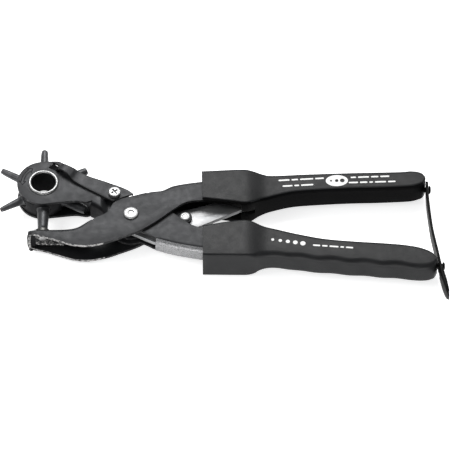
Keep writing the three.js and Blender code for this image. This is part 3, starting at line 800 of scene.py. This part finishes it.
RING_PROFILE = [
    (6.6, 7.15), (8.4, 7.15), (8.38, 7.45), (8.22, 7.78), (7.95, 8.02), (7.6, 8.13), (7.2, 8.1),
    (6.88, 7.95), (6.67, 7.7), (6.6, 7.4), (6.6, 7.15),
]
for name, node, side in (
    ("axle_rim_upper", "axle_ring_upper", 1),
    ("axle_rim_lower", "axle_ring_lower", -1),
):
    profile = [(r, z * side) for r, z in RING_PROFILE]
    ring = add(name, place(lathe_mesh(profile, 96), at(*WHEEL)), (NICKEL,))
    shade(ring, 45)
    settle(ring, "punch_jaw", "nickel_ring", node)

SEAT_PITCH = 360 / len(HOLES)
SEAT_FLOOR = DRUM_R - 1.3
POCKET = rectangle(DETENT_R - 2.2, DETENT_R + 3, -2.3, 2.3)
POCKET_DEPTH = 1.3


def seat_angle(i):
    """The first tube, the largest, is the one over the anvil."""
    return -90 + SEAT_PITCH * i


drum = add("punch_drum", rod_mesh(DRUM_R, WHEEL, -DRUM_HALF, DRUM_HALF, 120), (BLACK_STEEL,))
cutters = [add("bore", rod_mesh(DRUM_BORE, WHEEL, -20, 20, 96))]
seat = [(0, 0), (3.1, 0), (3.1, SEAT_FLOOR), (3.85, SEAT_FLOOR), (3.85, DRUM_R + 5), (0, DRUM_R + 5)]
for i in range(len(HOLES)):
    cutters.append(add("seat", place(lathe_mesh(seat, 48), radial(WHEEL, seat_angle(i)))))
    pocket = prism_mesh(POCKET, DRUM_HALF - POCKET_DEPTH, DRUM_HALF + POCKET_DEPTH)
    turn = at(*WHEEL) @ turned(seat_angle(i) + SEAT_PITCH / 2)
    cutters.append(add("pocket", place(pocket, turn)))
cut(drum, cutters)
soften(drum, 0.22)
settle(drum, "punch_wheel", "dark_steel", "punch_wheel")

for i, hole in enumerate(HOLES):
    bore = hole / 2
    edge = bore + 0.45
    shank = max(bore + 1.05, 2.25)
    collar = min(shank + 0.6, 3.7)
    profile = [
        (bore, 8.2), (3.0, 8.2), (3.0, DRUM_R - 1.2), (collar, DRUM_R - 1.2), (collar, DRUM_R - 0.35),
        (collar - 0.2, DRUM_R - 0.1), (shank + 0.3, DRUM_R + 0.1), (shank + 0.08, DRUM_R + 0.5),
        (shank, DRUM_R + 1.0), (edge + 0.1, TUBE_REACH - 2.0), (edge, TUBE_REACH - 1.2),
        (edge - 0.12, TUBE_REACH - 0.5), (bore + 0.12, TUBE_REACH), (bore, TUBE_REACH), (bore, 8.2),
    ]
    turned_tube = place(lathe_mesh(profile, 56), radial(WHEEL, seat_angle(i)))
    tube = add("cutting_tube_%.1f" % hole, turned_tube, (PUNCH,))
    soften(tube, 0.06, 2)
    node = "punch_tube_%smm" % ("%.1f" % hole).replace(".", "_")
    settle(tube, "punch_wheel", "punch_steel", node)

# ---------------------------------------------------------------- index spring

LEAF_UPPER = [(-9, 5.1), (-4.8, 5.9), (1.5, 5.5), (10, 4.1), (18, 2.9), (26, 2.6), (32, 2.1), (40.5, 1.9)]
LEAF_LOWER = [(40.5, -1.9), (32, -2.2), (27, -3.0), (23.5, -4.1), (14, -4.7), (4.7, -4.7), (-1.9, -4.5)]
LEAF_RISE = [
    (-10, 6.7), (3, 6.8), (9, 7.25), (23, 7.7), (27.5, 9.1), (31.5, 9.8), (34.2, 9.1), (35.7, 7.2),
    (36.9, 5.1), (38.2, 4.5), (39.4, 5), (40.7, 5.9),
]
LEAF_START, LEAF_END = -9, 40.4
LEAF_T = 1.1
LEAF_ROWS = 90
LEAF_COLUMNS = 6
PAINTED_SHADE_NOSE_FROM = 34.9


def leaf_mesh():
    """The leaf as rows across it, each row set on the bent line of its side view."""
    upper = smooth(LEAF_UPPER)
    lower = list(reversed(smooth(LEAF_LOWER)))
    side = smooth(LEAF_RISE, 10)
    corner_s, corner_w = lower[0]
    bm = bmesh.new()
    grid = []
    for i in range(LEAF_ROWS + 1):
        s = LEAF_START + (LEAF_END - LEAF_START) * i / LEAF_ROWS
        high = lerp(upper, s)
        if s > corner_s:
            low = lerp(lower, s)
        else:
            low = high + (s - LEAF_START) / (corner_s - LEAF_START) * (corner_w - high)
        low = min(low, high - 0.8)
        z = lerp(side, s)
        slope = (lerp(side, s + 0.2) - lerp(side, s - 0.2)) / 0.4
        lift = LEAF_T * math.sqrt(1 + min(slope * slope, 2.2))
        bottom, top = [], []
        for k in range(LEAF_COLUMNS + 1):
            w = low + (high - low) * k / LEAF_COLUMNS
            x, y = leaf_point(s, w)
            bottom.append(bm.verts.new((x, y, z)))
            top.append(bm.verts.new((x, y, z + lift)))
        grid.append((bottom, top))
    for (b0, t0), (b1, t1) in zip(grid, grid[1:]):
        for k in range(LEAF_COLUMNS):
            bm.faces.new((t0[k], t0[k + 1], t1[k + 1], t1[k]))
            bm.faces.new((b0[k + 1], b0[k], b1[k], b1[k + 1]))
        bm.faces.new((b0[0], t0[0], t1[0], b1[0]))
        bm.faces.new((t0[-1], b0[-1], b1[-1], t1[-1]))
    for bottom, top in (grid[0], grid[-1]):
        for k in range(LEAF_COLUMNS):
            bm.faces.new((bottom[k], bottom[k + 1], top[k + 1], top[k]))
    bmesh.ops.recalc_face_normals(bm, faces=bm.faces)
    return bm


def nose_in_painted_shade(x, y, face):
    leaf_x, leaf_y = polar(1, LEAF_ANGLE)
    return (x - SCREW[0]) * leaf_x + (y - SCREW[1]) * leaf_y > PAINTED_SHADE_NOSE_FROM


leaf = add("index_leaf", leaf_mesh(), (COATED,))
cut(leaf, [add("drill", rod_mesh(1.75, SCREW, 0, 20))])
soften(leaf, 0.22, 2, 50)
# painted shade: the leaf's nose, down in the jaw's window, gets the darker black steel
paint_faces(leaf, BLACK_STEEL, nose_in_painted_shade)
settle(leaf, "punch_jaw", "spring_steel", "index_spring")

SPACER_PROFILE = [(1.75, 4.05), (3.1, 4.05), (3.1, 6.72), (1.75, 6.72), (1.75, 4.05)]
spacer = turned_part("leaf_spacer", SPACER_PROFILE, at(*SCREW), BLACK_STEEL, 0.15)
settle(spacer, "punch_jaw", "dark_steel", "index_spacer")

SCREW_PROFILE = [
    (0, 2.6), (1.6, 2.6), (1.6, 7.98), (3.25, 7.98), (3.25, 9.7), (2.95, 10.0), (2.2, 10.08), (0, 10.08),
]
screw = add("leaf_screw", place(lathe_mesh(SCREW_PROFILE), at(*SCREW)), (NICKEL,))
recess = []
for turn in (35, 125):
    box = prism_mesh(rectangle(-2.1, 2.1, -0.5, 0.5), 8.9, 11)
    recess.append(add("recess", place(box, at(*SCREW) @ turned(turn))))
cut(screw, recess)
soften(screw, 0.12)
settle(screw, "punch_jaw", "plated_fasteners", "index_screw")

# ---------------------------------------------------------------- lower handle

HANDLE_UPPER = [
    (7.4, 9.2), (13, 7.6), (22.5, 2.4), (28.5, -2.4), (36, -7.3), (50, -9.4), (64, -8.4),
    (75, -11), (90, -15.2), (105, -18.7), (125, -20.9), (158, -25),
]
HANDLE_WEB = [
    (158, -33), (145, -31.8), (125, -29.8), (100, -27.3), (78, -24.9), (62, -25), (50, -24.8),
    (38.9, -23.4), (24, -20.3), (13.4, -16.9),
]
HANDLE_NOTCH = [(13.4, -16.9), (12.4, -14.8), (10, -13), (5.2, -10.6)]
HANDLE_BEND = 3.4
PAINTED_SHEEN_START, PAINTED_SHEEN_END = 13, 44


def painted_sheen_web(x, y, face):
    return face.material_index == 0 and PAINTED_SHEEN_START < x < PAINTED_SHEEN_END and face.normal.y < FACES_FRONT


handle = pressed(
    "lower_handle_pressing",
    [
        (smooth(HANDLE_UPPER), False),
        (smooth(HANDLE_WEB), True),
        (smooth(HANDLE_NOTCH)[1:], False),
        (arc((0, 0), 11.8, -64, -308, 48)[1:], False),
    ],
    HANDLE_HALF,
    across=lambda x: HANDLE_BEND,
)
holes(handle, (PIVOT_HOLE, (0, 0)))
soften(handle, 0.25)
# painted highlight: the web's front faces get the lighter sheen coating
paint_faces(handle, PAINTED_SHEEN, painted_sheen_web)
settle(handle, "lower_handle", "black_coated_steel", "lower_handle")

# ---------------------------------------------------------------- pressure lever

LEVER_ANGLE = math.degrees(math.atan2(FULCRUM[1] - LINK[1], FULCRUM[0] - LINK[0]))
LEVER_EYE = move(polar(0.87, LEVER_ANGLE), FULCRUM)
LEVER_HALF = 1.2
LEVER_OUTLINE = [
    (-2.9, -7.0), (1.2, -8.8), (12.2, -14.4), (13.4, -14.9), (14.8, -14.4), (36, -4.6), (60, 7.2),
    (66.5, 8.6), *arc(LEVER_EYE, 5.4, -60, 120, 24), (52, 14.6), (39.6, 9.9), (31.2, 7.3), (25, 6.0),
    (19.5, 2.6), (13, -2.8), (7.2, -5.6), (1.5, -5.7), (-2.4, -5.0),
]
SLOT_R = 2.2
SLOT_TRAVEL = 1.15


def slot_outline():
    back, front = [move(polar(d, LEVER_ANGLE), LEVER_EYE) for d in (-SLOT_TRAVEL, SLOT_TRAVEL)]
    front_end = arc(front, SLOT_R, LEVER_ANGLE - 90, LEVER_ANGLE + 90, 24)
    back_end = arc(back, SLOT_R, LEVER_ANGLE + 90, LEVER_ANGLE + 270, 24)
    return front_end + back_end


plate = add("pressure_plate", prism_mesh(LEVER_OUTLINE, -LEVER_HALF, LEVER_HALF), (ZINC,))
cut(plate, [add("slot", prism_mesh(slot_outline(), -5, 5)), add("eye", rod_mesh(LINK_HOLE, LINK, -5, 5))])
soften(plate, 0.18)
settle(plate, "pressure_lever", "bright_zinc_plate", "pressure_lever")

# ---------------------------------------------------------------- main pivot and fulcrum pin

PIVOT_PROFILE = [
    (0, -9.6), (3.6, -9.6), (4.1, -9.2), (4.1, -7.65), (2.75, -7.65), (2.75, 7.65), (4.1, 7.65),
    (4.1, 8.15), (3.85, 8.5), (3.2, 8.72), (1.9, 8.75), (1.65, 8.5), (0.9, 8.38), (0, 8.36),
]
pivot = add("main_pivot", lathe_mesh(PIVOT_PROFILE), (NICKEL,))
cut(pivot, [add("dimple", prism_mesh(arc((-0.1, 0), 1.7, -120, 120, 24), 8.2, 10))])
soften(pivot, 0.14)
settle(pivot, "anvil_lever", "plated_fasteners", "pivot_rivet")

PIN_PROFILE = [(0, -6.6), (2, -6.6), (2, 6.6), (0, 6.6)]
pin = turned_part("fulcrum_pin_ground", PIN_PROFILE, at(*FULCRUM), BLACK_STEEL, 0.2)
settle(pin, "anvil_lever", "dark_steel", "fulcrum_pin")

# ---------------------------------------------------------------- grips

UPPER_BACK = [
    (38.7, 28.8), (52, 29.6), (62.5, 30), (68, 29.3), (73, 28.2), (79, 27.8), (98, 28.8), (121, 29.7),
    (147, 30.4), (154, 31), (158.9, 30.3), (161.4, 28), (162, 24.6),
]
UPPER_FRONT = [
    (39.2, 9), (56, 6.7), (64, 5.8), (71, 9.1), (80, 12.3), (90, 14.7), (105, 16), (121, 16.9), (136, 17.3),
    (152, 18.2), (157.2, 19.3), (160.6, 21.2), (162, 24.6),
]
LOWER_BACK = [
    (39.4, -8.9), (52, -6.2), (64, -4.9), (72, -7.2), (80, -9.3), (90, -12.1), (105, -15.5), (121, -17.3),
    (137, -18.5), (149, -19.7), (158, -21.6), (164.4, -24.9), (167.4, -29.6),
]
LOWER_FRONT = [
    (39.4, -29.6), (65, -29.8), (70, -28.7), (75, -27.8), (81, -27.9), (92, -29.9), (113, -32.2),
    (136, -34.3), (152, -35.9), (160, -36.3), (165.4, -34.7), (167.4, -29.6),
]


def grip_mesh(back, front, half, crease, groove, stations, corner_steps=6):
    """A sleeve as rounded sections across the tool.

    back and front are the outer lines, half(x) the half height, crease(x, side) the corner radii on
    the back (+1) and front (-1) side, groove(x) how deep the upper half of the front is scalloped."""
    back_line = smooth(back, 10)
    front_line = smooth(front, 10)
    bm = bmesh.new()
    rings = []
    for t in stations:
        bx, by = resample(back_line, t)
        fx, fy = resample(front_line, t)
        x_mid = (bx + fx) / 2
        h = half(x_mid)
        width = math.hypot(bx - fx, by - fy)
        across = Vector((bx - fx, by - fy)) / max(width, 1e-6)
        ring = []
        rb = min(crease(x_mid, 1), width * 0.46, h * 0.95)
        rf = min(crease(x_mid, -1), width * 0.46, h * 0.95)
        g = groove(x_mid)
        plan = []
        # from the back's lower corner, up the back, over the top, down the front and under
        for r, centre_w, centre_z, start in (
            (rb, width - rb, -(h - rb), -90),
            (rb, width - rb, h - rb, 0),
            (rf, rf, h - rf, 90),
            (rf, rf, -(h - rf), 180),
        ):
            for k in range(corner_steps + 1):
                a = math.radians(start + 90 * k / corner_steps)
                plan.append((centre_w + r * math.cos(a), centre_z + r * math.sin(a)))
        for w, z in plan:
            near_front = max(0.0, 1 - w / max(rf, 1e-6)) if w < rf else 0.0
            shift = g * near_front * (0.5 + 0.5 * max(-1.0, min(1.0, z / (0.5 * h))))
            px = fx + across.x * (w + shift)
            py = fy + across.y * (w + shift)
            ring.append(bm.verts.new((px, py, z)))
        rings.append(ring)
    return skin(bm, rings)


def resample(line, t):
    """The point at share t of a line's length."""
    lengths = [math.dist(a, b) for a, b in zip(line, line[1:])]
    target = t * sum(lengths)
    for (a, b), length in zip(zip(line, line[1:]), lengths):
        if target <= length:
            k = target / length
            return (a[0] + (b[0] - a[0]) * k, a[1] + (b[1] - a[1]) * k)
        target -= length
    return line[-1]


# shares of a sleeve's length: even along it, and closer together towards its rounded end
EVEN_STATIONS = [i / 110 for i in range(104)]
END_STATIONS = [0.95 + 0.05 * (1 - (1 - i / 16) ** 2) * 0.995 for i in range(1, 17)]
STATIONS = EVEN_STATIONS + END_STATIONS
SCALLOP_START, SCALLOP_END = 84, 154
SCALLOP_PITCH = 17.5
POCKET_START, POCKET_END = 30, 58
POCKET_GAP = 0.5


def half_height(x):
    return ease([(62, GUARD_HALF), (76, GRIP_HALF)], x)


def scallop(x):
    """From 0 on a crest between two fingers to 1 in the hollow for a finger."""
    if not SCALLOP_START < x < SCALLOP_END:
        return 0.0
    return 0.5 * (1 - math.cos((x - SCALLOP_START) / SCALLOP_PITCH * 2 * math.pi))


def no_groove(x):
    return 0.0


def upper_crease(x, side):
    if side > 0:
        return ease([(60, 2.2), (76, 3.0)], x)
    return ease([(60, 1.6), (74, 2.0), (150, 2.2)], x)


def lower_crease(x, side):
    if side > 0:
        return ease([(60, 1.6), (74, 2.6)], x)
    return ease([(64, 1.5), (72, 3.4), (150, 3.4)], x) + 0.9 * scallop(x)


def finger_groove(x):
    return 0.8 * scallop(x)


def offset_line(line, distance):
    out = []
    for i, (x, y) in enumerate(line):
        (ax, ay), (bx, by) = line[max(i - 1, 0)], line[min(i + 1, len(line) - 1)]
        length = math.hypot(bx - ax, by - ay)
        out.append((x - (by - ay) / length * distance, y + (bx - ax) / length * distance))
    return out


def lever_pocket(back, front, half):
    """Cutter for the room in a sleeve's open end, a little wider than the lever in it."""
    outline = []
    for line in (back, front):
        outline += [p for p in offset_line(smooth(line), POCKET_GAP) if POCKET_START < p[0] < POCKET_END]
    return add("pocket", prism_mesh(outline, -half, half))


upper_mesh = grip_mesh(UPPER_BACK, UPPER_FRONT, half_height, upper_crease, no_groove, STATIONS)
upper = add("upper_sleeve", upper_mesh, (GRIP,))
pocket = lever_pocket(FRAME_HANDLE_BACK, FRAME_EDGE, 8.1)
slit = add("slit", prism_mesh(rectangle(POCKET_START, 60.5, 0, 16), -6.2, 6.2))
plate_slit = add("plate_slit", prism_mesh(rectangle(POCKET_START, 68, 0, 16), -1.7, 1.7))
cut(upper, [pocket, slit, plate_slit])
soften(upper, 0.45, 2, 50)
# painted shade: the upper sleeve's front faces get the darker plastic
paint_faces(upper, GRIP_PAINTED_SHADE, lambda x, y, face: face.normal.y < -0.55)
settle(upper, "anvil_lever", "black_grip_plastic", "upper_grip")

lower_mesh = grip_mesh(LOWER_BACK, LOWER_FRONT, half_height, lower_crease, finger_groove, STATIONS)
lower = add("lower_sleeve", lower_mesh, (GRIP,))
cut(lower, [lever_pocket(HANDLE_UPPER, HANDLE_WEB, 6.3)])
soften(lower, 0.45, 2, 50)
settle(lower, "lower_handle", "black_grip_plastic", "lower_grip")

# ---------------------------------------------------------------- closing strap and its knobs

STRAP_LINE = [
    (162.9, 26), (162.9, 18.8), (163.4, 8), (164.9, -8), (167.4, -23), (169.0, -32.8), (171.1, -43),
    (172.9, -51.1),
]
STRAP_T = 1.4
STRAP_HALF = 4.95


def strap_mesh():
    """A band on edge, thin along its length and thickened into a leaf-shaped pull tab at its end."""
    line = smooth(STRAP_LINE, 12)
    bm = bmesh.new()
    rings = []
    total = len(line) - 1
    corner = 4
    for i, (x, y) in enumerate(line):
        (ax, ay), (bx, by) = line[max(i - 1, 0)], line[min(i + 1, total)]
        along = Vector((bx - ax, by - ay)).normalized()
        side = Vector((-along.y, along.x))
        thick = ease([(-51.1, 0.7), (-48, 2.0), (-42, 2.5), (-36, 2.3), (-33, STRAP_T)], y)
        tall = ease([(-51.1, 2.2), (-49.5, 3.6), (-46, 4.7), (-42, STRAP_HALF)], y)
        if y > KNOB_UPPER_Y:
            tall = ease([(KNOB_UPPER_Y, STRAP_HALF), (24.5, 4.2), (26, 2.6)], y)
        t, r = thick / 2, thick * 0.42
        ring = []
        for sx, sz, start in ((1, -1, -90), (1, 1, 0), (-1, 1, 90), (-1, -1, 180)):
            for k in range(corner + 1):
                a = math.radians(start + 90 * k / corner)
                u = sx * (t - r) + r * math.cos(a)
                z = sz * (tall - r) + r * math.sin(a)
                ring.append(bm.verts.new((x + side.x * u, y + side.y * u, z)))
        rings.append(ring)
    return skin(bm, rings)


strap = add("strap_band", strap_mesh(), (STRAP,))
KNOB_DRILL = [(0, 150), (1.8, 150), (1.8, 180), (0, 180)]
cut(strap, [
    add("hole", place(lathe_mesh(KNOB_DRILL, 40), along_x(y))) for y in (KNOB_UPPER_Y, KNOB_LOWER_Y)
])
soften(strap, 0.2, 2, 50)
settle(strap, "closing_strap", "black_strap_rubber", "closing_strap")

for name, node, body, y, face in (
    ("upper_strap_button", "strap_knob_upper", "anvil_lever", KNOB_UPPER_Y, 163.4),
    ("lower_strap_button", "strap_knob_lower", "lower_handle", KNOB_LOWER_Y, 169.8),
):
    profile = [
        (0, face - 4), (1.5, face - 4), (1.5, face + 0.45), (2.3, face + 0.5), (2.3, face + 0.9),
        (2.0, face + 1.4), (1.2, face + 1.65), (0, face + 1.7),
    ]
    knob = turned_part(name, profile, along_x(y), STRAP, 0.15, sides=40)
    settle(knob, body, "black_grip_plastic", node)

# ---------------------------------------------------------------- generic print on the grips

# how far the print stands out of a sleeve's face, and how far it is sunk into it
PRINT_T = 0.05


def decal(name, outlines, z, body, shade_material=PRINT):
    bm = bmesh.new()
    for outline in outlines:
        part = prism_mesh(outline, z - PRINT_T, z + PRINT_T)
        mesh = bpy.data.meshes.new("part")
        part.to_mesh(mesh)
        part.free()
        bm.from_mesh(mesh)
        bpy.data.meshes.remove(mesh)
    made = add(name, bm, (shade_material,))
    settle(made, body, "black_grip_plastic")


def ellipse(centre, a, b, tilt, steps=48):
    points = []
    for i in range(steps):
        turn = 2 * math.pi * i / steps
        points.append(tilted(a * math.cos(turn), b * math.sin(turn), tilt, centre))
    return points


def bar(centre, length, width, tilt):
    """A short stroke with round ends."""
    outline = []
    for sign in (1, -1):
        for k in range(9):
            a = math.radians(-90 + 180 * k / 8)
            u = sign * (length / 2 - width / 2 + width / 2 * math.cos(a))
            v = sign * width / 2 * math.sin(a)
            outline.append(tilted(u, v, tilt, centre))
    return outline


def dash_row(start, end, lengths, gap=1.0, width=1.0):
    """A row of short bars from start to end: a stand-in for a printed line, with nothing to read."""
    tilt = math.atan2(end[1] - start[1], end[0] - start[0])
    room = math.dist(start, end) - gap * (len(lengths) - 1)
    bars, along = [], 0.0
    for length in lengths:
        size = length / sum(lengths) * room
        middle = move(start, ((along + size / 2) * math.cos(tilt), (along + size / 2) * math.sin(tilt)))
        bars.append(bar(middle, size, width, tilt))
        along += size + gap
    return bars


BADGE = (113.1, 22.9)
BADGE_SIZE = (6.1, 3.8)
decal("size_badge", [ellipse(BADGE, *BADGE_SIZE, math.radians(2))], GRIP_HALF, "anvil_lever")
dots = []
for i in range(3):
    dot_r = 0.6 + 0.35 * i
    dots.append(ellipse(move(BADGE, (-3.2 + 3.1 * i, -0.1 + 0.1 * i)), dot_r, dot_r, 0, 24))
decal("size_badge_dots", dots, GRIP_HALF + PRINT_T, "anvil_lever", GRIP)
UPPER_ROWS = [
    ((81, 23.0), (106, 24.6), (5, 3, 6, 4)), ((83.2, 19.05), (100.2, 20.2), (4, 2, 5)),
    ((120.7, 25.1), (142.1, 26.0), (3, 6, 4, 5)), ((119.6, 21.5), (145.4, 22.4), (5, 4, 2, 6, 4)),
]
rows = [piece for start, end, lengths in UPPER_ROWS for piece in dash_row(start, end, lengths)]
decal("badge_lines", rows, GRIP_HALF, "anvil_lever")

LEGEND_START, LEGEND_END = (73.5, -16.8), (94.0, -20.0)
legend = []
for i, hole in enumerate(reversed(HOLES)):
    share = i / (len(HOLES) - 1)
    spot = tuple(a + (b - a) * share for a, b in zip(LEGEND_START, LEGEND_END))
    legend.append(ellipse(spot, hole * 0.32, hole * 0.32, 0, 32))
decal("hole_size_legend", legend, GRIP_HALF, "lower_handle")
decal("legend_line", dash_row((99.5, -21.2), (121.4, -23.0), (4, 3, 5, 2, 4)), GRIP_HALF, "lower_handle")

# ---------------------------------------------------------------- the opening spring keeps its CAD shape

spring = frame["nodes"]["opening_spring"]
spring.data.materials.clear()
spring.data.materials.append(BLACK_STEEL)

# ---------------------------------------------------------------- floor, light and camera


def stage_floor():
    bm = bmesh.new()
    bmesh.ops.create_grid(bm, x_segments=1, y_segments=1, size=3)
    mesh = bpy.data.meshes.new("floor")
    bm.to_mesh(mesh)
    bm.free()
    made = bpy.data.objects.new("floor", mesh)
    bpy.context.scene.collection.objects.link(made)

    def pale(tree, shader):
        drive(tree, shader, "Base Color", noise(tree, 3, 2), [(0.3, 0.93), (0.7, 0.95)])
        shader.inputs["Roughness"].default_value = 0.9
        shader.inputs["Specular IOR Level"].default_value = 0.1
        shader.inputs["Emission Color"].default_value = (1.0, 1.0, 1.0, 1.0)
        shader.inputs["Emission Strength"].default_value = 0.72

    mesh.materials.append(material("pale_floor", pale))


stage_floor()
TARGET = PIVOT + Vector((51.54, -2.12, 0)) * MM
ELEVATION = math.radians(53.3)
DISTANCE = 2.7
VIEW_WIDTH = 246.87 * MM
SENSOR = 36.0


def look_at(thing, target):
    thing.rotation_euler = (target - thing.location).to_track_quat("-Z", "Y").to_euler()


camera_data = bpy.data.cameras.new("camera")
camera_data.sensor_width = SENSOR
camera_data.lens = SENSOR * DISTANCE / VIEW_WIDTH
camera_data.clip_end = 20
camera = bpy.data.objects.new("camera", camera_data)
bpy.context.scene.collection.objects.link(camera)
camera.location = TARGET + Vector((0, -math.cos(ELEVATION), math.sin(ELEVATION))) * DISTANCE
look_at(camera, TARGET)
bpy.context.scene.camera = camera


def softbox(name, azimuth, elevation, distance, size, power, aim=TARGET):
    light = bpy.data.lights.new(name, "AREA")
    light.shape = "RECTANGLE"
    light.size, light.size_y = size
    light.energy = power
    made = bpy.data.objects.new(name, light)
    bpy.context.scene.collection.objects.link(made)
    a, e = math.radians(azimuth), math.radians(elevation)
    direction = Vector((math.cos(a) * math.cos(e), math.sin(a) * math.cos(e), math.sin(e)))
    made.location = aim + direction * distance
    look_at(made, aim)


softbox("key", 94, 53, 1.3, (0.9, 0.75), 15)
softbox("near", 96, 53, 0.42, (0.10, 0.14), 0.45, PIVOT)
softbox("front", -94, 4, 1.0, (1.1, 0.12), 6)
softbox("left", 182, 40, 1.2, (0.5, 0.5), 4)

world = bpy.data.worlds.new("studio")
world.use_nodes = True
world.node_tree.nodes["Background"].inputs["Color"].default_value = (0.96, 0.98, 1.0, 1)
world.node_tree.nodes["Background"].inputs["Strength"].default_value = 0.26
bpy.context.scene.world = world
bpy.context.scene.view_settings.view_transform = "Standard"

bpy.context.view_layer.update()
